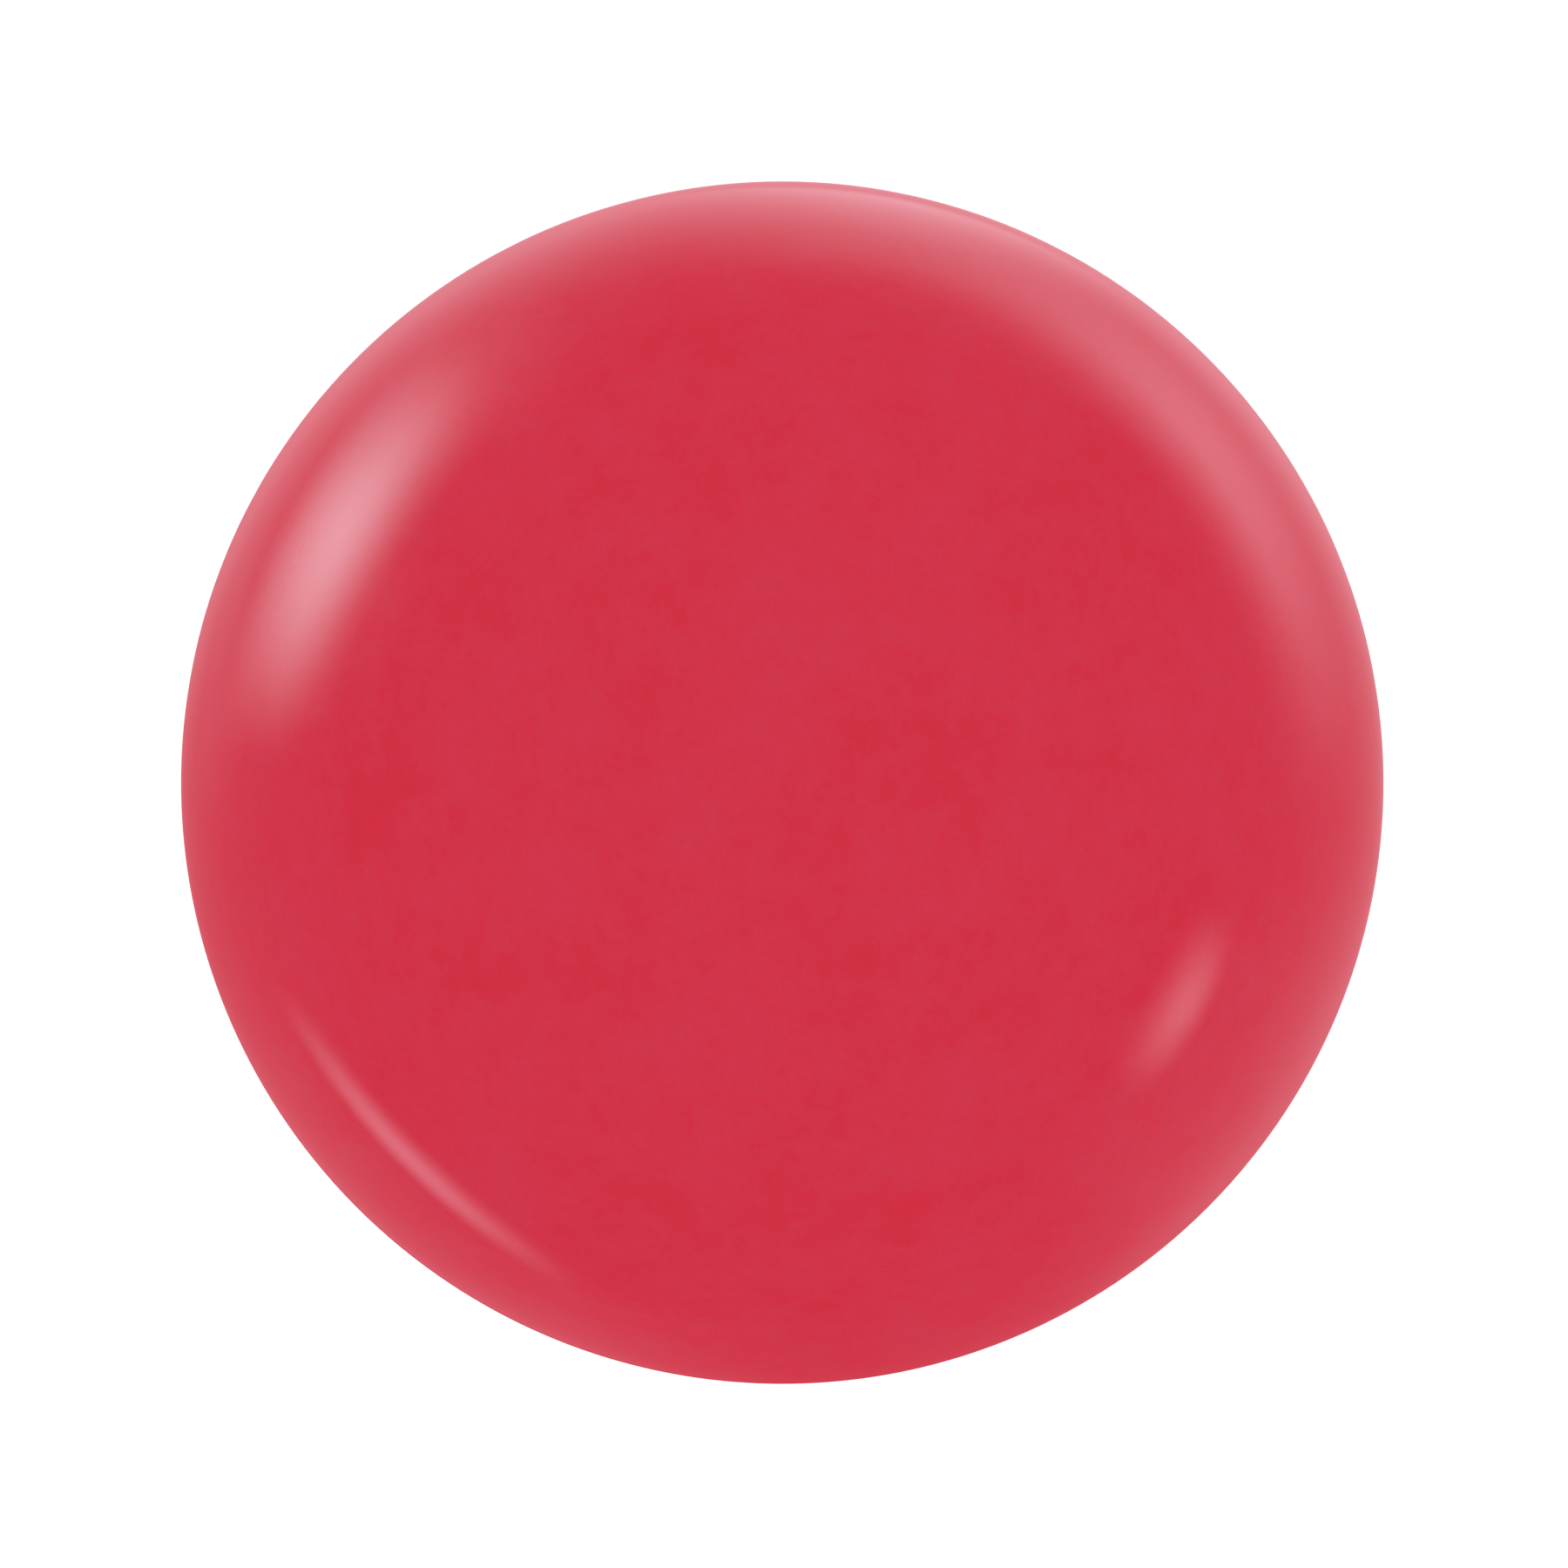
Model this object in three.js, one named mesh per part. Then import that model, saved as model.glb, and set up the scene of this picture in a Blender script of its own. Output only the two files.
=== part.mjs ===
// A full-size croquet ball: a moulded cork-and-rubber core cased in two moulded plastic cups.
//
// Millimetres, +Z up, origin at the ball's centre. The cups share the Y axis and meet in the XZ plane:
// the front cup is on -Y and the rear cup on +Y. Every piece is turned about Y, as it would be on a lathe.

import * as THREE from 'three';

// Driving dimensions.
const BALL_DIAMETER = 92.075; // 3 5/8 inches, the full-size ball
const SHELL_WALL = 8; // thickness of a cup
const BOND_THICKNESS = 0.5; // the adhesive film between a cup and the core
const CLEARANCE = 0.3; // between any two pieces that touch

// The lap joint: the front cup's spigot stands inside the rear cup's recess.
const SPIGOT_WALL = 3.5;
const SPIGOT_HEIGHT = 5;
const SPIGOT_LEAD_IN = 0.6; // chamfer that guides the spigot into the recess

// The bead of cement, cured in a channel that is cut half into each rim.
const BEAD_WIDTH = 1;
const BEAD_INSET = 1.75; // from the ball's surface to the bead
const BEAD_CHAMFER = 0.25;

// How finely round shapes are divided.
const AROUND = 48; // divisible by four, so that the ball is exactly as wide as it is tall
const OUTER_STEP = 6; // degrees of latitude, on the ball's surface
const INNER_STEP = 10; // degrees of latitude, on every surface inside it
const LEAST_STEP = 1; // degrees; a shorter last step is joined to the one before

// Sizes that follow from the above.
const BALL_RADIUS = BALL_DIAMETER / 2;
const CAVITY_RADIUS = BALL_RADIUS - SHELL_WALL;
const BOND_OUTER_RADIUS = CAVITY_RADIUS - CLEARANCE;
const BOND_INNER_RADIUS = BOND_OUTER_RADIUS - BOND_THICKNESS;
const CORE_RADIUS = BOND_INNER_RADIUS - CLEARANCE;
const RIM = CLEARANCE / 2; // from the joint plane to either rim
const SPIGOT_RADIUS = CAVITY_RADIUS + SPIGOT_WALL;
const RECESS_RADIUS = SPIGOT_RADIUS + CLEARANCE;
const RECESS_DEPTH = SPIGOT_HEIGHT + CLEARANCE;
const BEAD_OUTER_RADIUS = BALL_RADIUS - BEAD_INSET;
const BEAD_INNER_RADIUS = BEAD_OUTER_RADIUS - BEAD_WIDTH;
const CHANNEL_OUTER_RADIUS = BEAD_OUTER_RADIUS + CLEARANCE;
const CHANNEL_INNER_RADIUS = BEAD_INNER_RADIUS - CLEARANCE;
const CHANNEL_DEPTH = BEAD_WIDTH / 2 + CLEARANCE; // from the joint plane

const POLE = 90; // degrees of latitude

const MATERIALS = {
  shell: { color: '#d03448', roughness: 0.04, metalness: 0 },
  core: { color: '#856141', roughness: 0.8, metalness: 0 },
  bond: { color: '#bd8a40', roughness: 0.4, metalness: 0 },
  cement: { color: '#9e2535', roughness: 0.4, metalness: 0 },
};

const point = (radius, height) => new THREE.Vector2(radius, height);

/** The latitude, in degrees, at which a sphere stands at a height above its middle. */
const latitudeAt = (height, radius) => THREE.MathUtils.radToDeg(Math.asin(height / radius));

/** A sphere's meridian between two latitudes, with a point at each multiple of step on the way. */
function meridian(radius, from, to, step) {
  const way = Math.sign(to - from);
  const latitudes = [from];
  let next = (way > 0 ? Math.floor(from / step) + 1 : Math.ceil(from / step) - 1) * step;
  while (way * (to - next) > LEAST_STEP) {
    latitudes.push(next);
    next += way * step;
  }
  latitudes.push(to);
  return latitudes.map((latitude) => {
    if (Math.abs(latitude) === POLE) return point(0, Math.sign(latitude) * radius);
    const angle = THREE.MathUtils.degToRad(latitude);
    return point(radius * Math.cos(angle), radius * Math.sin(angle));
  });
}

/** The rim's half of the cement channel, from its outer wall to its inner one. side is -1 front, 1 rear. */
const channel = (side) => [
  point(CHANNEL_OUTER_RADIUS, side * RIM),
  point(CHANNEL_OUTER_RADIUS, side * CHANNEL_DEPTH),
  point(CHANNEL_INNER_RADIUS, side * CHANNEL_DEPTH),
  point(CHANNEL_INNER_RADIUS, side * RIM),
];

/** The front cup: a hemisphere whose inner wall stands up past its rim as a spigot with a straight bore. */
function frontShellProfile() {
  return [
    ...meridian(BALL_RADIUS, -POLE, -latitudeAt(RIM, BALL_RADIUS), OUTER_STEP),
    ...channel(-1),
    point(SPIGOT_RADIUS, -RIM),
    point(SPIGOT_RADIUS, SPIGOT_HEIGHT - SPIGOT_LEAD_IN),
    point(SPIGOT_RADIUS - SPIGOT_LEAD_IN, SPIGOT_HEIGHT),
    point(CAVITY_RADIUS, SPIGOT_HEIGHT),
    ...meridian(CAVITY_RADIUS, 0, -POLE, INNER_STEP),
  ];
}

/** The rear cup: a hemisphere whose rim is stepped back inside, to take the spigot. */
function rearShellProfile() {
  return [
    ...meridian(CAVITY_RADIUS, POLE, latitudeAt(RECESS_DEPTH, CAVITY_RADIUS), INNER_STEP),
    point(RECESS_RADIUS, RECESS_DEPTH),
    point(RECESS_RADIUS, RIM),
    ...channel(1).reverse(),
    ...meridian(BALL_RADIUS, latitudeAt(RIM, BALL_RADIUS), POLE, OUTER_STEP),
  ];
}

/** A hemispherical film of adhesive that lines one cup. side is -1 front, 1 rear. */
function bondProfile(side) {
  const outerEdge = side * latitudeAt(RIM, BOND_OUTER_RADIUS);
  const innerEdge = side * latitudeAt(RIM, BOND_INNER_RADIUS);
  const outer = meridian(BOND_OUTER_RADIUS, side * POLE, outerEdge, INNER_STEP);
  const inner = meridian(BOND_INNER_RADIUS, innerEdge, side * POLE, INNER_STEP);
  const profile = [...outer, ...inner];
  return side < 0 ? profile : profile.reverse();
}

/** The core: a plain moulded sphere. */
const coreProfile = () => meridian(CORE_RADIUS, -POLE, POLE, INNER_STEP);

/** The cement bead: a closed ring of square section with its corners cut off. */
function beadProfile() {
  const half = BEAD_WIDTH / 2;
  const flat = half - BEAD_CHAMFER;
  const middle = (BEAD_OUTER_RADIUS + BEAD_INNER_RADIUS) / 2;
  const section = [
    [half, -flat],
    [half, flat],
    [flat, half],
    [-flat, half],
    [-half, flat],
    [-half, -flat],
    [-flat, -half],
    [flat, -half],
    [half, -flat],
  ];
  return section.map(([out, along]) => point(middle + out, along));
}

/** One named piece, turned about Y from its profile. */
function turned(name, material, profile) {
  const geometry = new THREE.LatheGeometry(profile, AROUND);
  const mesh = new THREE.Mesh(geometry, new THREE.MeshStandardMaterial(MATERIALS[material]));
  mesh.name = name;
  return mesh;
}

const croquetBall = new THREE.Group();
croquetBall.add(
  turned('core', 'core', coreProfile()),
  turned('front_core_bond', 'bond', bondProfile(-1)),
  turned('rear_core_bond', 'bond', bondProfile(1)),
  turned('front_shell', 'shell', frontShellProfile()),
  turned('rear_shell', 'shell', rearShellProfile()),
  turned('seam_cement', 'cement', beadProfile()),
);

export default croquetBall;
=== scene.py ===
"""A full-size croquet ball: two moulded plastic cups, lap-jointed and cemented over a composition core.

Every piece is turned about Y, the cups' common axis, and stands where the frame puts it. Sizes are in
metres. The front cup is on -Y and the rear cup on +Y.
"""

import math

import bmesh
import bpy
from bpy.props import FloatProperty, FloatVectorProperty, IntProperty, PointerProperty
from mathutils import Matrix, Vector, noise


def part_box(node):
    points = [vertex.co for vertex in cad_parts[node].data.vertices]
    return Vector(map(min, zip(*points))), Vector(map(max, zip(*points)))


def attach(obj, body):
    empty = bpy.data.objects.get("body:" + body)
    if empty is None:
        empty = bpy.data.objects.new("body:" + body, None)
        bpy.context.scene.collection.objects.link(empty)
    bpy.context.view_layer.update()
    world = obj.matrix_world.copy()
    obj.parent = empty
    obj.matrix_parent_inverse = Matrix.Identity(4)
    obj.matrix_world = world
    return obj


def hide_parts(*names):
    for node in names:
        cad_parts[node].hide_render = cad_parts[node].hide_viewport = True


bl_info = {
    "name": "Croquet Ball",
    "version": (1, 0, 0),
    "blender": (4, 5, 0),
    "location": "3D View > Sidebar > Croquet Ball",
    "description": "Builds a cored croquet ball, piece by piece, and the studio that shows it",
    "category": "Add Mesh",
}

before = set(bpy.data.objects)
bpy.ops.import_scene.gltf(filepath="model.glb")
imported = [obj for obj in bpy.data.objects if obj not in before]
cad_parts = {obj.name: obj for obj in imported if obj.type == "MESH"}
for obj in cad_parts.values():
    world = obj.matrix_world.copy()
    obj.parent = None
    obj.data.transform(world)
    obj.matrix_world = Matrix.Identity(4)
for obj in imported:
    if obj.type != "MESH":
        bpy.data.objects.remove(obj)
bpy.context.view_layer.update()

MM = 0.001
WHITE = (1.0, 1.0, 1.0)
DARK = (0.0, 0.0, 0.0)


def radius_of(node):
    """The radius of a frame node that is round about the Y axis."""
    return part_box(node)[1][0]


BALL_RADIUS = radius_of("front_shell")
BOND_RADIUS = radius_of("front_core_bond")
CORE_RADIUS = radius_of("core")
BEAD_RADIUS = radius_of("seam_cement")
BEAD_HALF_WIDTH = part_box("seam_cement")[1][1]  # the bead is as wide along the radius as along Y
SPIGOT_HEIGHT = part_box("front_shell")[1][1]
CLEARANCE = -2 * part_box("front_core_bond")[1][1]  # the films stop half of it from the seam's plane
CAVITY_RADIUS = BOND_RADIUS + CLEARANCE


# Sizes and colours that a user would change.


class ShellSettings(bpy.types.PropertyGroup):
    """The two cups and the plastic they are moulded from."""

    colour: FloatVectorProperty(
        name="Colour", description="The plastic's own red",
        subtype="COLOR", min=0, max=1, default=(0.647, 0.0275, 0.0530),
    )
    cloud_colour: FloatVectorProperty(
        name="Cloud Colour", description="The paler red of the faint clouds in the pigment",
        subtype="COLOR", min=0, max=1, default=(0.628, 0.0400, 0.0755),
    )
    cloud_size: FloatProperty(
        name="Cloud Size", description="Width of a cloud in the pigment",
        unit="LENGTH", min=0.0005, default=14 * MM,
    )
    roughness: FloatProperty(
        name="Roughness", description="Roughness of the polished outside",
        subtype="FACTOR", min=0, max=1, default=0.04,
    )
    moulded_roughness: FloatProperty(
        name="Moulded Roughness", description="Roughness of the joint and the cavity, left as moulded",
        subtype="FACTOR", min=0, max=1, default=0.38,
    )
    peel: FloatProperty(
        name="Peel", description="Depth of the slight waviness that polishing leaves",
        unit="LENGTH", precision=7, min=0, default=0.0012 * MM,
    )
    seam: FloatProperty(
        name="Seam", description="Width of the hairline between the two rims",
        unit="LENGTH", precision=6, min=0.00001, default=0.06 * MM,
    )
    lip: FloatProperty(
        name="Lip", description="Rounding of each rim at the ball's surface",
        unit="LENGTH", precision=6, min=0.00001, default=0.035 * MM,
    )
    spigot_wall: FloatProperty(
        name="Spigot Wall", description="Thickness of the front cup's spigot",
        unit="LENGTH", min=0.001, default=3.5 * MM,
    )
    divisions: IntProperty(
        name="Divisions", description="Squares across a cup; its rim has four times as many",
        min=8, default=72,
    )


class CoreSettings(bpy.types.PropertyGroup):
    """The moulded cork-and-rubber core."""

    rubber: FloatVectorProperty(
        name="Rubber", description="The rubber that binds the cork",
        subtype="COLOR", min=0, max=1, default=(0.035, 0.017, 0.011),
    )
    dark_cork: FloatVectorProperty(
        name="Dark Cork", description="The darkest cork granules",
        subtype="COLOR", min=0, max=1, default=(0.12, 0.045, 0.018),
    )
    pale_cork: FloatVectorProperty(
        name="Pale Cork", description="The palest cork granules",
        subtype="COLOR", min=0, max=1, default=(0.50, 0.27, 0.115),
    )
    granule: FloatProperty(
        name="Granule", description="Width of a cork granule",
        unit="LENGTH", min=0.0005, default=2.8 * MM,
    )
    pit: FloatProperty(
        name="Pit", description="Depth of the pits where granules tore out",
        unit="LENGTH", precision=5, min=0, default=0.5 * MM,
    )
    divisions: IntProperty(
        name="Divisions", description="Squares across half of the core", min=8, default=144,
    )


class AdhesiveSettings(bpy.types.PropertyGroup):
    """The adhesive films on the core and the cement in the seam."""

    amber: FloatVectorProperty(
        name="Amber", description="The adhesive film where it is thin",
        subtype="COLOR", min=0, max=1, default=(0.62, 0.34, 0.075),
    )
    deep_amber: FloatVectorProperty(
        name="Deep Amber", description="The adhesive film where it is thick",
        subtype="COLOR", min=0, max=1, default=(0.36, 0.14, 0.022),
    )
    cement: FloatVectorProperty(
        name="Cement", description="The tinted cement in the seam",
        subtype="COLOR", min=0, max=1, default=(0.40, 0.022, 0.042),
    )
    film: FloatProperty(
        name="Film", description="Thickness of the adhesive film",
        unit="LENGTH", precision=5, min=0.0001, default=BOND_RADIUS - CLEARANCE - CORE_RADIUS,
    )
    ripple: FloatProperty(
        name="Ripple", description="How far the film's surface rises and falls",
        unit="LENGTH", precision=5, min=0, default=0.07 * MM,
    )


class StudioSettings(bpy.types.PropertyGroup):
    """The camera, the floor and the soft light."""

    lens: FloatProperty(
        name="Lens", description="Focal length in millimetres",
        subtype="DISTANCE_CAMERA", min=10, default=150,
    )
    fill: FloatProperty(
        name="Fill", description="Share of the view's width that the ball takes up",
        subtype="FACTOR", min=0.1, max=1, default=0.767,
    )
    shift: FloatVectorProperty(
        name="Shift", description="Shift of the lens to the right and up, as shares of the view's width",
        size=2, precision=4, default=(0.0011, -0.0009),
    )
    camera_clearance: FloatProperty(
        name="Camera Clearance", description="Height of the camera above the floor",
        unit="LENGTH", precision=6, min=0.00001, default=0.02 * MM,
    )
    floor: FloatVectorProperty(
        name="Floor", description="Colour of the plain floor",
        subtype="COLOR", min=0, max=1, default=(0.72, 0.72, 0.72),
    )
    surround: FloatVectorProperty(
        name="Surround", description="What the ball's gloss mirrors where no lamp stands",
        subtype="COLOR", min=0, max=1, default=(0.634, 0.0345, 0.065),
    )


class BallSettings(bpy.types.PropertyGroup):
    """Everything that can be set about the ball and its studio."""

    shell: PointerProperty(type=ShellSettings)
    core: PointerProperty(type=CoreSettings)
    adhesive: PointerProperty(type=AdhesiveSettings)
    studio: PointerProperty(type=StudioSettings)


# Shader nodes, written as expressions.


class Value:
    """A shader socket that takes part in Python expressions. Each operation adds a Math node."""

    def __init__(self, nodes, socket):
        self.nodes = nodes
        self.socket = socket

    def __add__(self, other):
        return self.nodes.math("ADD", self, other)

    def __radd__(self, other):
        return self.nodes.math("ADD", other, self)

    def __sub__(self, other):
        return self.nodes.math("SUBTRACT", self, other)

    def __rsub__(self, other):
        return self.nodes.math("SUBTRACT", other, self)

    def __mul__(self, other):
        return self.nodes.math("MULTIPLY", self, other)

    def __rmul__(self, other):
        return self.nodes.math("MULTIPLY", other, self)


class Nodes:
    """A node tree, emptied and then built from expressions."""

    def __init__(self, tree):
        self.tree = tree
        tree.nodes.clear()

    def add(self, kind, settings=(), sockets=(), output=0):
        """Adds a node, sets it, fills its sockets with values or links, and returns an output."""
        node = self.tree.nodes.new("ShaderNode" + kind)
        for name, setting in dict(settings).items():
            setattr(node, name, setting)
        for name, value in dict(sockets).items():
            if isinstance(value, Value):
                self.tree.links.new(value.socket, node.inputs[name])
            else:
                node.inputs[name].default_value = value
        return Value(self, node.outputs[output]) if node.outputs else node

    def math(self, operation, *operands):
        """An operation on plain numbers."""
        return self.add("Math", {"operation": operation}, enumerate(operands))

    def mix(self, share, first, second):
        """One colour turning into another as share goes from 0 to 1."""
        first, second = (c if isinstance(c, Value) else (*c, 1) for c in (first, second))
        return self.add("Mix", {"data_type": "RGBA"}, {0: share, 6: first, 7: second}, output=2)

    def smooth(self, value, low, high):
        """0 below low, 1 above high, and an S-curve between."""
        return self.add(
            "MapRange", {"interpolation_type": "SMOOTHSTEP"},
            {"Value": value, "From Min": low, "From Max": high},
        )

    def place(self):
        """The point being shaded, in metres."""
        return self.add("TexCoord", output="Object")

    def noise(self, place, size, detail=2.0, roughness=0.5):
        """Soft noise whose largest lumps are about that size."""
        return self.add(
            "TexNoise", (),
            {"Vector": place, "Scale": 1 / size, "Detail": detail, "Roughness": roughness},
        )

    def vector(self, operation, *operands):
        """An operation on vectors."""
        return self.add("VectorMath", {"operation": operation}, enumerate(operands))

    def wobbled(self, place, size, shift):
        """The place, shifted about at random by up to half of shift."""
        wobble = self.add("TexNoise", (), {"Vector": place, "Scale": 1 / size}, output="Color")
        return self.vector("MULTIPLY_ADD", wobble, (shift, shift, shift), place)

    def cells(self, place, size, feature, output):
        """Voronoi cells of about that size."""
        return self.add(
            "TexVoronoi", {"feature": feature}, {"Vector": place, "Scale": 1 / size}, output
        )

    def bump(self, height, depth):
        """The surface's normal, tilted as if it rose by depth where height is 1."""
        return self.add("Bump", (), {"Height": height, "Distance": depth})

    def background(self, colour, strength):
        return self.add("Background", (), {"Color": (*colour, 1), "Strength": strength})

    def surface(self, shader):
        self.add("OutputMaterial", (), {"Surface": shader})


def new_material(name):
    material = bpy.data.materials.new(name)
    material.use_nodes = True
    return material, Nodes(material.node_tree)


def polished_plastic(shell):
    """Moulded red plastic, clouded a little by its pigment, and buffed to a gloss on the outside only."""
    material, nodes = new_material("polished_red_plastic")
    buffed_to, moulded_from = 0.05 * MM, 0.3 * MM  # below the ball's surface
    place = nodes.place()
    from_centre = nodes.add("VectorMath", {"operation": "LENGTH"}, {0: place}, output="Value")
    inside = 1 - nodes.smooth(from_centre, BALL_RADIUS - moulded_from, BALL_RADIUS - buffed_to)
    cloud = nodes.smooth(nodes.noise(place, shell.cloud_size, detail=6.0, roughness=0.95), 0.3, 0.7)
    buffing = nodes.noise(nodes.vector("MULTIPLY", place, (1, 9, 1)), 3 * MM, detail=4.0)
    polished = shell.roughness * (0.75 + 0.5 * nodes.smooth(buffing, 0.3, 0.7))
    peel = nodes.noise(place, 1.6 * MM, detail=1.0)
    nodes.surface(nodes.add("BsdfPrincipled", (), {
        "Base Color": nodes.mix(cloud, shell.colour, shell.cloud_colour),
        "Roughness": polished + (shell.moulded_roughness - polished) * inside,
        "Normal": nodes.bump(peel, shell.peel),
        "IOR": 1.5,
    }))
    return material


def composition(core):
    """Torn cork granules of many browns, and crumbs of black rubber, pressed into dark rubber."""
    material, nodes = new_material("cork_and_rubber")
    place = nodes.place()
    torn = nodes.wobbled(place, 1.1 * MM, 1.6 * MM)
    chance = nodes.add("SeparateColor", (), {0: nodes.cells(torn, core.granule, "F1", "Color")})
    edge = nodes.cells(torn, core.granule, "DISTANCE_TO_EDGE", "Distance")
    crumb = nodes.noise(place, 0.7 * MM, detail=6.0, roughness=0.65)
    granule = nodes.smooth(edge + (crumb - 0.5) * 0.2, 0.01, 0.09) * nodes.smooth(chance, 0.14, 0.16)
    pore = nodes.smooth(nodes.cells(torn, 0.55 * MM, "F1", "Distance"), 0.15, 0.35)
    cork = nodes.mix(chance * 0.6 + crumb * 0.5, core.dark_cork, core.pale_cork)
    nodes.surface(nodes.add("BsdfPrincipled", (), {
        "Base Color": nodes.mix(granule * (0.7 + 0.3 * pore), core.rubber, cork),
        "Roughness": 0.6 + 0.3 * granule,
        "Normal": nodes.bump(granule + 0.5 * crumb + 0.25 * pore, 0.1 * MM),
    }))
    return material


def amber_film(adhesive):
    """Cured adhesive, deeper where it pooled, with brush strokes and a few small bubbles."""
    material, nodes = new_material("cured_core_adhesive")
    place = nodes.place()
    pooled = nodes.noise(place, 16 * MM, detail=4.0)
    strokes = nodes.vector("MULTIPLY", nodes.wobbled(place, 9 * MM, 3 * MM), (1, 0.12, 1))
    brushed = nodes.noise(strokes, 1.1 * MM, detail=3.0)
    bubble = 1 - nodes.smooth(nodes.cells(place, 3.4 * MM, "F1", "Distance"), 0.08, 0.13)
    depth = nodes.smooth(pooled + 0.35 * brushed - 0.12 * bubble, 0.45, 0.95)
    nodes.surface(nodes.add("BsdfPrincipled", (), {
        "Base Color": nodes.mix(depth, adhesive.amber, adhesive.deep_amber),
        "Roughness": 0.22 + 0.3 * brushed,
        "Normal": nodes.bump(brushed + 0.8 * bubble, 0.06 * MM),
        "IOR": 1.48,
    }))
    return material


def tinted_cement(adhesive):
    """Cement tinted to match the cups, a little darker and duller than they are."""
    material, nodes = new_material("tinted_seam_cement")
    place = nodes.place()
    speckle = nodes.noise(place, 0.4 * MM, detail=4.0)
    darker = tuple(0.7 * channel for channel in adhesive.cement)
    nodes.surface(nodes.add("BsdfPrincipled", (), {
        "Base Color": nodes.mix(nodes.smooth(speckle, 0.35, 0.65), darker, adhesive.cement),
        "Roughness": 0.3 + 0.25 * speckle,
        "Normal": nodes.bump(speckle, 0.02 * MM),
    }))
    return material


# Meshes.


def disc(across, up):
    """A point of the square from -1 to 1, eased into the unit disc, as (distance, azimuth)."""
    x = across * math.sqrt(1 - up * up / 2)
    z = up * math.sqrt(1 - across * across / 2)
    return math.hypot(x, z), math.atan2(z, x)


def eased(corners, steps=3):
    """An outline through (radius, depth, ease) corners, each rounded off from `ease` before it."""
    points = [Vector(corner[:2]) for corner in corners]
    outline = [points[0]]
    for before, corner, after, (*_, ease) in zip(points, points[1:], points[2:], corners[1:]):
        start = corner + (before - corner).normalized() * ease
        end = corner + (after - corner).normalized() * ease
        for step in range(steps + 1):
            t = step / steps
            outline.append(start.lerp(corner, t).lerp(corner.lerp(end, t), t))
    return [*outline, points[-1]]


def square_edge(divisions):
    """The grid steps round the edge of a square, in order."""
    side = range(divisions)
    return [
        *((divisions, j) for j in side),
        *((divisions - i, divisions) for i in side),
        *((0, divisions - j) for j in side),
        *((i, 0) for i in side),
    ]


class Turned:
    """Quads turned about Y: caps, gridded like a square eased into a disc, and rings that carry on.

    A place is a radius from the Y axis and a depth along it. Depth runs towards +Y where side is 1, and
    towards -Y where it is -1.
    """

    def __init__(self, divisions, side=1):
        self.divisions = divisions
        self.side = side
        self.points = []
        self.faces = []
        self.azimuths = [
            disc(2 * i / divisions - 1, 2 * j / divisions - 1)[1] for i, j in square_edge(divisions)
        ]

    def point(self, radius, depth, azimuth):
        x, z = radius * math.cos(azimuth), radius * math.sin(azimuth)
        self.points.append(Vector((x, self.side * depth, z)))
        return len(self.points) - 1

    def cap(self, radius, last_angle):
        """A spherical cap from its pole to last_angle. Returns its edge."""
        n = self.divisions
        grid = {}
        for i in range(n + 1):
            for j in range(n + 1):
                share, azimuth = disc(2 * i / n - 1, 2 * j / n - 1)
                angle = share * last_angle
                grid[i, j] = self.point(radius * math.sin(angle), radius * math.cos(angle), azimuth)
        for i in range(n):
            for j in range(n):
                self.faces.append((grid[i, j], grid[i + 1, j], grid[i + 1, j + 1], grid[i, j + 1]))
        return [grid[step] for step in square_edge(n)]

    def ring(self, radius, depth):
        return [self.point(radius, depth, azimuth) for azimuth in self.azimuths]

    def join(self, first, second):
        """The band of quads between two rings."""
        for k, corner in enumerate(first):
            self.faces.append((first[k - 1], corner, second[k], second[k - 1]))

    def follow(self, edge, outline):
        """Rings along an outline that starts at an edge. Returns the last ring."""
        for radius, depth in outline:
            ring = self.ring(radius, depth)
            self.join(edge, ring)
            edge = ring
        return edge

    def weld(self, first, second):
        """Makes two rings that lie in the same place into one."""
        kept = dict(zip(second, first))
        self.faces = [tuple(kept.get(corner, corner) for corner in face) for face in self.faces]

    def mesh(self, name):
        """The finished mesh, with its faces pointing out and its corners crisp."""
        form = bmesh.new()
        used = sorted({corner for face in self.faces for corner in face})
        corners = {index: form.verts.new(self.points[index]) for index in used}
        for face in self.faces:
            form.faces.new([corners[index] for index in face]).smooth = True
        bmesh.ops.recalc_face_normals(form, faces=form.faces)
        mesh = bpy.data.meshes.new(name)
        form.to_mesh(mesh)
        form.free()
        mesh.set_sharp_from_angle(angle=math.radians(40))
        return mesh


def new_piece(name, mesh, material, node):
    """The object that stands for a frame node."""
    piece = bpy.data.objects.new(name, mesh)
    bpy.context.scene.collection.objects.link(piece)
    mesh.materials.append(material)
    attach(piece, "root")
    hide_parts(node)
    return piece


def true_sphere_normals(mesh, radius):
    """Gives the faces on a sphere about the origin the sphere's own normals, so its gloss is even."""
    normals = [Vector(normal.vector) for normal in mesh.corner_normals]
    nearly = radius * 0.9999
    for face in mesh.polygons:
        places = [mesh.vertices[index].co for index in face.vertices]
        if min(place.length for place in places) > nearly:
            for loop, place in zip(face.loop_indices, places):
                normals[loop] = place.normalized()
    mesh.normals_split_custom_set(normals)


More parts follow.
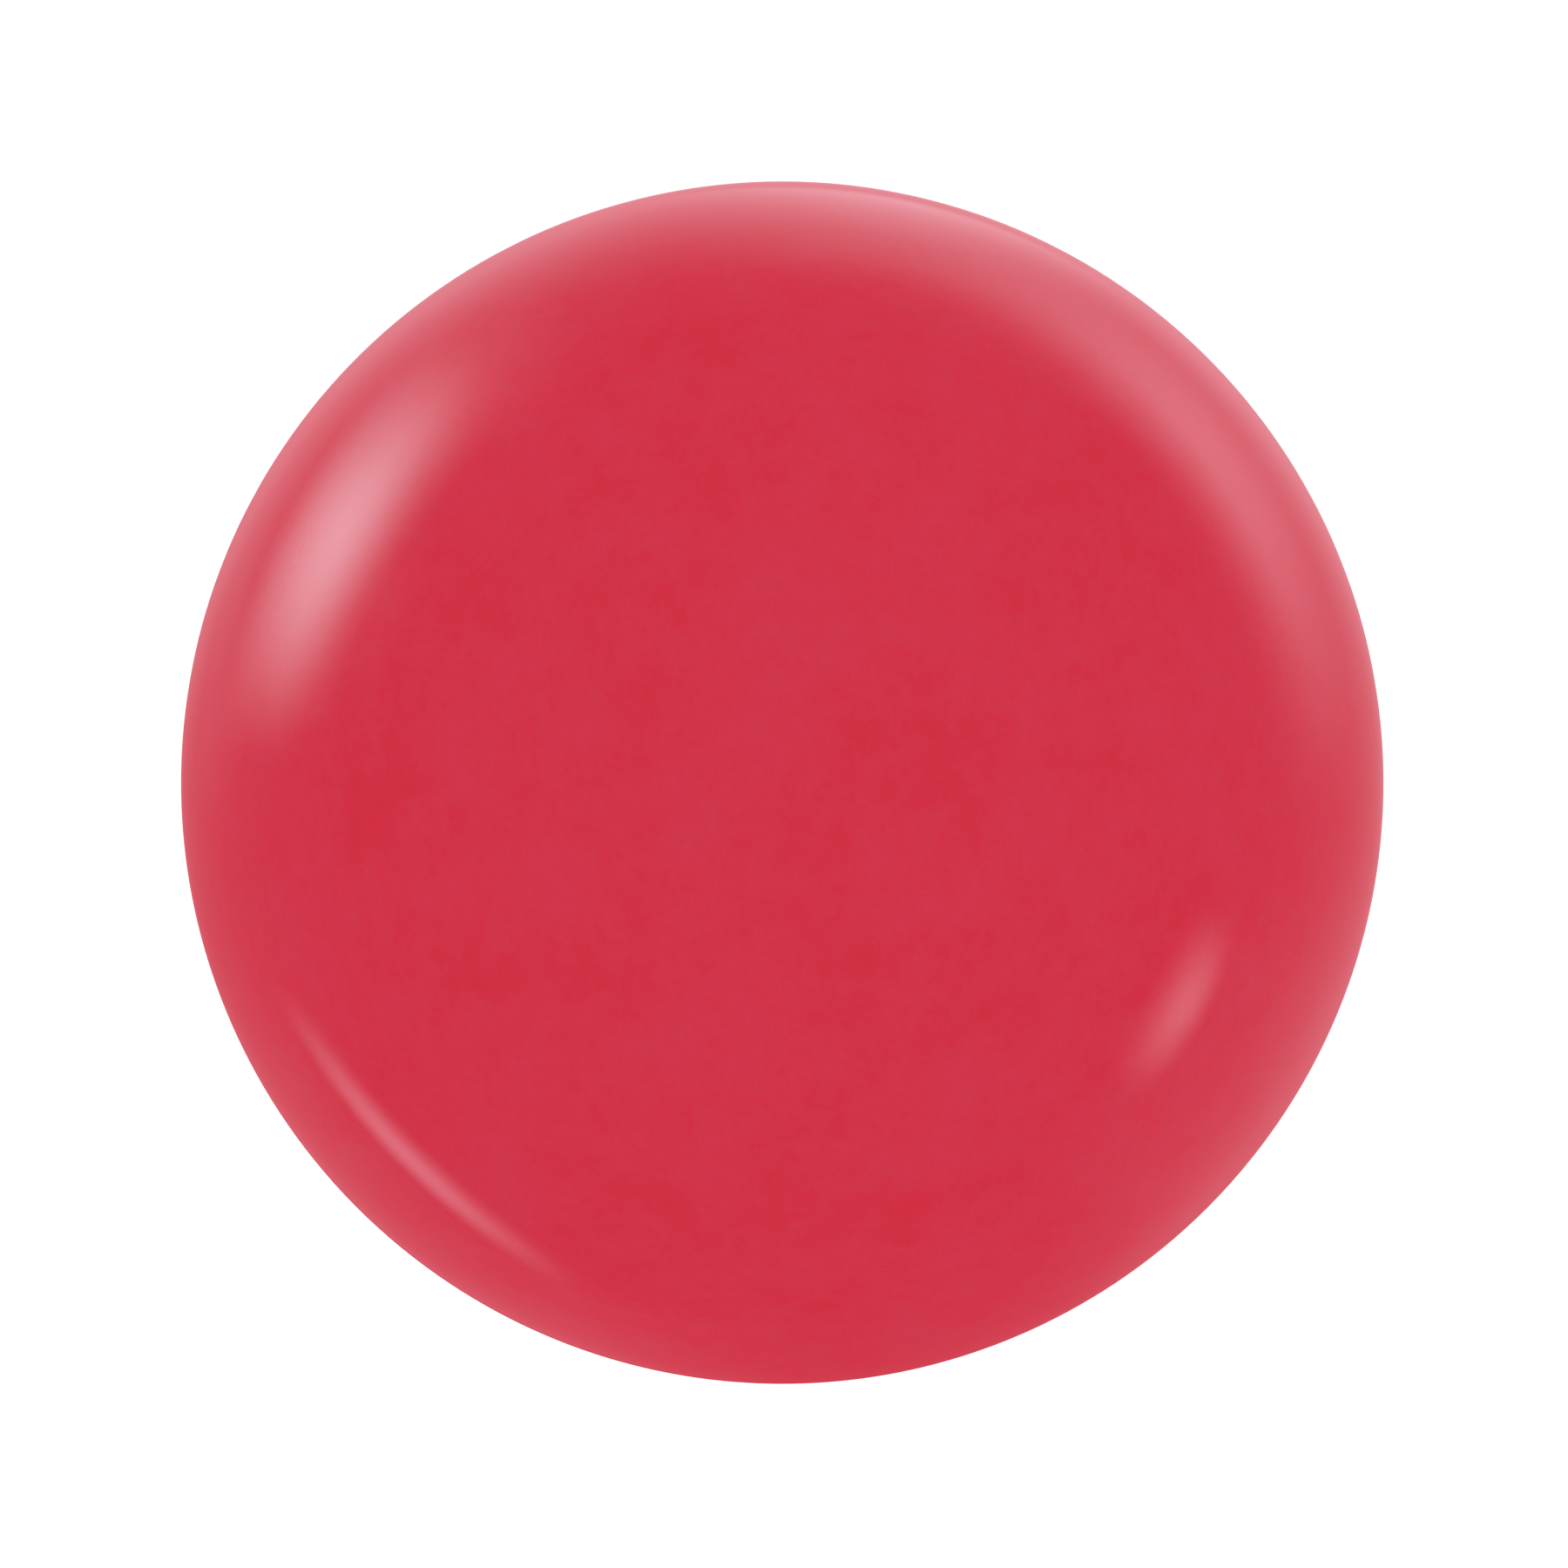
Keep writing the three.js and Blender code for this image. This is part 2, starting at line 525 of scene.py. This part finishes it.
def rim_corners(shell):
    """The part of the joint's outline that both rims share: the lip, the face and the cement channel."""
    half_seam = shell.seam / 2
    lip_depth = half_seam + shell.lip
    channel_outer = BEAD_RADIUS + CLEARANCE
    channel_inner = BEAD_RADIUS - 2 * BEAD_HALF_WIDTH - CLEARANCE
    channel_depth = BEAD_HALF_WIDTH + CLEARANCE
    crisp = 0.12 * MM
    return [
        (math.sqrt(BALL_RADIUS**2 - lip_depth**2), lip_depth, 0),
        (BALL_RADIUS, half_seam, shell.lip),
        (channel_outer, half_seam, crisp),
        (channel_outer, channel_depth, crisp),
        (channel_inner, channel_depth, crisp),
        (channel_inner, half_seam, crisp),
    ]


def cup_mesh(name, shell, side, joint_corners, cavity_depth):
    """A cup: the ball's surface, the joint at its rim, and the cavity from cavity_depth to its pole."""
    outline = eased([*rim_corners(shell), *joint_corners])
    cup = Turned(shell.divisions, side)
    edge = cup.cap(BALL_RADIUS, math.acos(outline[0][1] / BALL_RADIUS))
    rim = cup.follow(edge, outline[1:])
    cavity = cup.cap(CAVITY_RADIUS, math.acos(cavity_depth / CAVITY_RADIUS))
    cup.join(rim, cavity)
    mesh = cup.mesh(name)
    true_sphere_normals(mesh, BALL_RADIUS)
    return mesh


def front_joint(shell):
    """The spigot: the cup's inner wall, standing past the joint with a chamfer to lead it in."""
    half_seam = shell.seam / 2
    outer = CAVITY_RADIUS + shell.spigot_wall
    lead_in = 0.6 * MM
    soft = 0.2 * MM
    crisp = 0.1 * MM
    return [
        (outer, -half_seam, soft),
        (outer, lead_in - SPIGOT_HEIGHT, crisp),
        (outer - lead_in, -SPIGOT_HEIGHT, crisp),
        (CAVITY_RADIUS, -SPIGOT_HEIGHT, soft),
        (CAVITY_RADIUS, -0.5 * SPIGOT_HEIGHT, 0),
    ]


def rear_joint(shell):
    """The recess that takes the spigot, with its gap all round."""
    half_seam = shell.seam / 2
    outer = CAVITY_RADIUS + shell.spigot_wall + CLEARANCE
    depth = SPIGOT_HEIGHT + CLEARANCE
    inner = math.sqrt(CAVITY_RADIUS**2 - depth**2)
    soft = 0.2 * MM
    ledge = 0.3 * MM  # from the cavity to where the recess's floor starts
    return [
        (outer, half_seam, soft),
        (outer, depth, soft),
        (inner + ledge, depth, 0),
    ]


def film_mesh(name, adhesive, divisions, side):
    """A film of adhesive that follows the cup's cavity, rippled by the brush and ragged at its edge."""
    inner_radius = BOND_RADIUS - adhesive.film
    edge_depth = 0.6 * MM
    raggedness = 0.4 * MM
    ragged_band = 4 * MM  # from the seam's plane to where the edge's raggedness dies out
    film = Turned(divisions, side)
    outer = film.cap(BOND_RADIUS, math.acos(edge_depth / BOND_RADIUS))
    inner = film.cap(inner_radius, math.acos(edge_depth / inner_radius))
    middle = film.ring(BOND_RADIUS - adhesive.film / 2, edge_depth - adhesive.film / 3)
    film.join(outer, middle)
    film.join(middle, inner)
    for point in film.points:
        ripple = noise.noise(point / (6 * MM)) * adhesive.ripple
        near_edge = max(0, 1 - abs(point.y) / ragged_band)
        ragged = noise.noise(Vector((point.x, side, point.z)) / (5 * MM)) * raggedness * near_edge
        point.length += ripple
        point.y += side * ragged
    return film.mesh(name)


def core_mesh(name, core):
    """A slightly lumpy sphere, with pits where granules tore out of its skin in the mould."""
    lumpiness = 0.1 * MM
    rarity = 0.42  # the higher, the fewer pits
    slope = 0.3  # the higher, the gentler the pits' sides
    ball = Turned(core.divisions)
    first = ball.cap(CORE_RADIUS, math.pi / 2)
    ball.side = -1
    second = ball.cap(CORE_RADIUS, math.pi / 2)
    ball.weld(first, second)
    for point in ball.points:
        lump = 0.5 - 0.5 * noise.noise(point / (9 * MM))
        torn = max(0, noise.noise(point / core.granule) - rarity) / slope
        point.length -= lumpiness * lump + core.pit * min(1, torn)
    return ball.mesh(name)


def cement_mesh(name, shell):
    """The bead of cement in its channel, with the thin web that fills the seam up to the surface."""
    web = 0.45 * shell.seam
    inner = BEAD_RADIUS - 2 * BEAD_HALF_WIDTH
    half = BEAD_HALF_WIDTH
    tip = BALL_RADIUS - 0.3 * shell.lip
    soft = 0.3 * MM
    unevenness = 0.35
    upper = eased([
        (tip, 0, 0),
        (tip, web, web / 2),
        (BEAD_RADIUS, web, web / 2),
        (BEAD_RADIUS, half, soft),
        (inner, half, soft),
        (inner, 0, 0),
    ])
    lower = [Vector((radius, -depth)) for radius, depth in upper[-2:0:-1]]
    bead = Turned(shell.divisions)
    first = bead.ring(*upper[0])
    last = bead.follow(first, [*upper[1:], *lower])
    bead.join(last, first)
    middle = (BEAD_RADIUS + inner) / 2
    for point in bead.points:
        across = Vector((point.x, 0, point.z))
        swell = 1 + unevenness * noise.noise(across / (8 * MM))
        if across.length <= BEAD_RADIUS:
            radius = min(BEAD_RADIUS, middle + (across.length - middle) * swell)
            point.y *= swell if abs(point.y) > web else 1
            point.x, point.z = across.x * radius / across.length, across.z * radius / across.length
    return bead.mesh(name)


# The studio.


def fading(inner_edge, outer_edge, end_edge):
    """How a lamp fades out towards its edges, each over its own share of the lamp's half."""

    def share(nodes, along, depth):
        ends = nodes.smooth(1 - nodes.math("ABSOLUTE", along), 0, end_edge)
        return ends * nodes.smooth(1 + depth, 0, inner_edge) * nodes.smooth(1 - depth, 0, outer_edge)

    return share


def leaning(level, lift, lean, inner_edge):
    """How a glow right round the ball is brighter above it than below, and a little to one side."""

    def share(nodes, along, depth):
        height = nodes.math("SINE", along * math.pi) * -lift
        side = nodes.math("COSINE", along * math.pi) * -lean
        return (level + height + side) * nodes.smooth(1 + depth, 0, inner_edge)

    return share


def glow_material(name, colour, strength, share):
    """A surface that adds its glow to what stands behind it. share works out how much at each spot."""
    material, nodes = new_material(name)
    material.cycles.emission_sampling = "NONE"
    spot = nodes.add("TexCoord", output="UV")
    along = nodes.add("SeparateXYZ", (), {0: spot}, output="X")
    depth = nodes.add("SeparateXYZ", (), {0: spot}, output="Y")
    tint = nodes.mix(share(nodes, along, depth), DARK, colour)
    glow = nodes.add("Emission", (), {"Color": tint, "Strength": strength})
    nodes.surface(nodes.add("AddShader", (), {0: nodes.add("BsdfTransparent"), 1: glow}))
    return material


class Studio:
    """The camera's own directions, from the ball's centre, by which the lamps are placed."""

    RADIUS = 6.0  # distance of every lamp from the ball

    def __init__(self, towards_camera):
        self.near = towards_camera
        self.right = Vector((1, 0, 0))
        self.up = self.near.cross(self.right)

    def direction(self, around, away):
        """A direction `away` degrees from the camera's, turned `around` from right towards up."""
        around, away = math.radians(around), math.radians(away)
        across = self.right * math.cos(around) + self.up * math.sin(around)
        return self.near * math.cos(away) + across * math.sin(away)

    def patch(self, name, material, around, away, half_length, half_depth, bow=0.0, steps=48):
        """A curved lamp face, from -1 to 1 both ways in its UV map. Its ends lie `bow` further away."""
        rows = 12
        furthest = 179.9  # degrees; a face stops just short of the point straight behind the ball
        points, places, faces = [], [], []
        for i in range(steps + 1):
            along = 2 * i / steps - 1
            for j in range(rows + 1):
                depth = 2 * j / rows - 1
                angle = min(furthest, away + depth * half_depth + bow * along * along)
                points.append(self.direction(around + along * half_length, angle) * self.RADIUS)
                places.append((along, depth))
        for i in range(steps):
            for j in range(rows):
                corner = i * (rows + 1) + j
                faces.append((corner, corner + 1, corner + rows + 2, corner + rows + 1))
        mesh = bpy.data.meshes.new(name)
        mesh.from_pydata(points, [], faces)
        uv = mesh.uv_layers.new(name="lamp")
        for loop in mesh.loops:
            uv.data[loop.index].uv = places[loop.vertex_index]
        mesh.materials.append(material)
        lamp = bpy.data.objects.new(name, mesh)
        bpy.context.scene.collection.objects.link(lamp)
        lamp.visible_camera = False
        lamp.visible_diffuse = False
        lamp.visible_transmission = False
        lamp.visible_volume_scatter = False
        lamp.visible_shadow = False

    def softbox(
        self, name, colour, strength, around, away, half_length, half_depth, bow, inner_edge, outer_edge,
        end_edge=1.0,
    ):
        """A patch that glows evenly and fades towards its edges. Angles are in degrees."""
        face = glow_material(name + "_face", colour, strength, fading(inner_edge, outer_edge, end_edge))
        self.patch(name, face, around, away, half_length, half_depth, bow)


def add_lamps(studio):
    """Soft lamps round the ball, most of them behind it, so that they show towards its edge."""
    cool = (0.66, 1.0, 1.08)
    pale = (0.9, 1.0, 1.13)
    bluish = (0.2, 1.0, 1.5)
    studio.softbox(
        "window_softbox", cool, 4.6, around=151, away=112.5, half_length=28, half_depth=24,
        bow=4.5, inner_edge=1.0, outer_edge=1.5,
    )
    studio.softbox(
        "window_far_end", pale, 0.3, around=128.5, away=108.5, half_length=15, half_depth=25.5,
        bow=0, inner_edge=0.9, outer_edge=0.9, end_edge=0.9,
    )
    studio.softbox(
        "window_near_edge", cool, 0.2, around=156, away=88.5, half_length=14, half_depth=8.5,
        bow=0, inner_edge=0.9, outer_edge=0.9, end_edge=0.9,
    )
    studio.softbox(
        "right_softbox", pale, 1.03, around=38, away=121.5, half_length=43, half_depth=21,
        bow=0.5, inner_edge=1.05, outer_edge=1.2,
    )
    studio.softbox(
        "overhead_softbox", cool, 0.31, around=79, away=134, half_length=27.5, half_depth=27,
        bow=3.5, inner_edge=0.55, outer_edge=0.25,
    )
    studio.softbox(
        "overhead_strip", pale, 0.15, around=93, away=141.5, half_length=89, half_depth=26.5,
        bow=8, inner_edge=0.95, outer_edge=0.7, end_edge=0.4,
    )
    studio.softbox(
        "low_strip", pale, 1.8, around=225, away=117.7, half_length=25, half_depth=7,
        bow=6, inner_edge=1.65, outer_edge=1.2, end_edge=0.95,
    )
    studio.softbox(
        "low_spot", pale, 2.7, around=331, away=94, half_length=14, half_depth=10.2,
        bow=-1.5, inner_edge=1.85, outer_edge=1.15,
    )
    studio.softbox(
        "low_right_card", pale, 0.097, around=326, away=129.5, half_length=31, half_depth=45.5,
        bow=1, inner_edge=0.45, outer_edge=0.65, end_edge=0.8,
    )
    studio.softbox(
        "low_left_card", pale, 0.092, around=233, away=144, half_length=44, half_depth=27,
        bow=1, inner_edge=0.45, outer_edge=0.2, end_edge=0.8,
    )
    studio.softbox(
        "left_card", bluish, 0.075, around=169, away=133, half_length=17, half_depth=17,
        bow=0, inner_edge=0.9, outer_edge=0.9, end_edge=0.9,
    )
    backdrop = glow_material("backdrop_face", cool, 1.0, leaning(0.175, 0.157, 0.04, inner_edge=1.3))
    studio.patch(
        "backdrop", backdrop, around=180, away=133, half_length=180, half_depth=46.5, steps=144,
    )


def add_floor(floor_colour):
    """A plain pale floor under the ball, which takes its shadow but lights nothing."""
    half = 2.0  # from the ball to the floor's edge
    glow = 0.36  # lifts the floor to white wherever no shadow falls
    mesh = bpy.data.meshes.new("studio_floor")
    corners = [(x * half, y * half, -BALL_RADIUS) for x, y in ((-1, -1), (1, -1), (1, 1), (-1, 1))]
    mesh.from_pydata(corners, [], [(0, 1, 2, 3)])
    material, nodes = new_material("pale_floor")
    grain = nodes.noise(nodes.place(), 30 * MM)
    darker = tuple(0.98 * channel for channel in floor_colour)
    nodes.surface(nodes.add("BsdfPrincipled", (), {
        "Base Color": nodes.mix(grain, darker, floor_colour),
        "Roughness": 0.9,
        "Specular IOR Level": 0.0,
        "Emission Color": (*WHITE, 1),
        "Emission Strength": glow,
    }))
    material.cycles.emission_sampling = "NONE"
    mesh.materials.append(material)
    floor = bpy.data.objects.new("studio_floor", mesh)
    bpy.context.scene.collection.objects.link(floor)
    floor.visible_diffuse = False
    floor.visible_glossy = False
    floor.visible_shadow = False


def add_camera(settings):
    """A long lens at floor level, aimed at the ball. Returns the direction from the ball to it."""
    data = bpy.data.cameras.new("camera")
    data.lens = settings.lens
    data.shift_x, data.shift_y = settings.shift
    camera = bpy.data.objects.new("camera", data)
    bpy.context.scene.collection.objects.link(camera)
    half_view = data.sensor_width / 2 / data.lens
    distance = BALL_RADIUS / math.sin(math.atan(settings.fill * half_view))
    height = settings.camera_clearance - BALL_RADIUS
    camera.location = (0, -math.sqrt(distance**2 - height**2), height)
    camera.rotation_euler = (-camera.location).to_track_quat("-Z", "Y").to_euler()
    bpy.context.scene.camera = camera
    return camera.location.normalized()


def add_daylight(surround):
    """Even white light on everything. The ball's gloss mirrors a surround of its own colour instead."""
    world = bpy.data.worlds.new("even_daylight")
    world.use_nodes = True
    nodes = Nodes(world.node_tree)
    white = nodes.background(WHITE, 1.0)
    mirrored = nodes.add("LightPath", output="Is Glossy Ray")
    light = nodes.add("MixShader", (), {0: mirrored, 1: white, 2: nodes.background(surround, 1.0)})
    seen = nodes.add("LightPath", output="Is Camera Ray")
    backdrop = nodes.background(WHITE, 1.1)  # past full white, so that no grey shows in it
    sky = nodes.add("MixShader", (), {0: seen, 1: light, 2: backdrop})
    nodes.add("OutputWorld", (), {"Surface": sky})
    world.cycles.sampling_method = "NONE"
    bpy.context.scene.world = world


# Operators, one for each piece or pair of like pieces and one for the studio.


class MakeCups(bpy.types.Operator):
    """Makes the two moulded cups"""

    bl_idname = "croquet_ball.make_cups"
    bl_label = "Make Cups"

    def execute(self, context):
        shell = context.scene.croquet_ball.shell
        plastic = polished_plastic(shell)
        front = cup_mesh("front_cup", shell, -1, front_joint(shell), 0)
        new_piece("front_cup", front, plastic, "front_shell")
        depth = SPIGOT_HEIGHT + CLEARANCE
        rear = cup_mesh("rear_cup", shell, 1, rear_joint(shell), depth)
        new_piece("rear_cup", rear, plastic, "rear_shell")
        return {"FINISHED"}


class MakeCement(bpy.types.Operator):
    """Makes the cement that joins the two rims"""

    bl_idname = "croquet_ball.make_cement"
    bl_label = "Make Cement"

    def execute(self, context):
        ball = context.scene.croquet_ball
        mesh = cement_mesh("cement_bead", ball.shell)
        new_piece("cement_bead", mesh, tinted_cement(ball.adhesive), "seam_cement")
        return {"FINISHED"}


class MakeFilms(bpy.types.Operator):
    """Makes the two films of adhesive that hold the cups to the core"""

    bl_idname = "croquet_ball.make_films"
    bl_label = "Make Adhesive Films"

    def execute(self, context):
        ball = context.scene.croquet_ball
        amber = amber_film(ball.adhesive)
        for end, side in (("front", -1), ("rear", 1)):
            name = end + "_film"
            mesh = film_mesh(name, ball.adhesive, ball.shell.divisions, side)
            new_piece(name, mesh, amber, end + "_core_bond")
        return {"FINISHED"}


class MakeCore(bpy.types.Operator):
    """Makes the moulded cork-and-rubber core"""

    bl_idname = "croquet_ball.make_core"
    bl_label = "Make Core"

    def execute(self, context):
        core = context.scene.croquet_ball.core
        mesh = core_mesh("composition_core", core)
        new_piece("composition_core", mesh, composition(core), "core")
        return {"FINISHED"}


class MakeStudio(bpy.types.Operator):
    """Makes the camera, the floor and the soft light"""

    bl_idname = "croquet_ball.make_studio"
    bl_label = "Make Studio"

    def execute(self, context):
        settings = context.scene.croquet_ball.studio
        context.scene.view_settings.view_transform = "Standard"
        towards_camera = add_camera(settings)
        add_floor(settings.floor)
        add_daylight(settings.surround)
        add_lamps(Studio(towards_camera))
        return {"FINISHED"}


class BallPanel(bpy.types.Panel):
    """Lists the steps that make the ball, in order"""

    bl_idname = "VIEW3D_PT_croquet_ball"
    bl_label = "Croquet Ball"
    bl_space_type = "VIEW_3D"
    bl_region_type = "UI"
    bl_category = "Croquet Ball"

    def draw(self, context):
        ball = context.scene.croquet_ball
        for group in (ball.shell, ball.core, ball.adhesive, ball.studio):
            box = self.layout.box()
            for name in group.__annotations__:
                box.prop(group, name)
        for operator in OPERATORS:
            self.layout.operator(operator.bl_idname)


SETTINGS = (ShellSettings, CoreSettings, AdhesiveSettings, StudioSettings, BallSettings)
OPERATORS = (MakeCups, MakeCement, MakeFilms, MakeCore, MakeStudio)


def register():
    for each in (*SETTINGS, *OPERATORS, BallPanel):
        bpy.utils.register_class(each)
    bpy.types.Scene.croquet_ball = PointerProperty(type=BallSettings)


def unregister():
    del bpy.types.Scene.croquet_ball
    for each in reversed((*SETTINGS, *OPERATORS, BallPanel)):
        bpy.utils.unregister_class(each)


def main():
    register()
    bpy.ops.croquet_ball.make_cups()
    bpy.ops.croquet_ball.make_cement()
    bpy.ops.croquet_ball.make_films()
    bpy.ops.croquet_ball.make_core()
    bpy.ops.croquet_ball.make_studio()


if __name__ == "__main__":
    main()
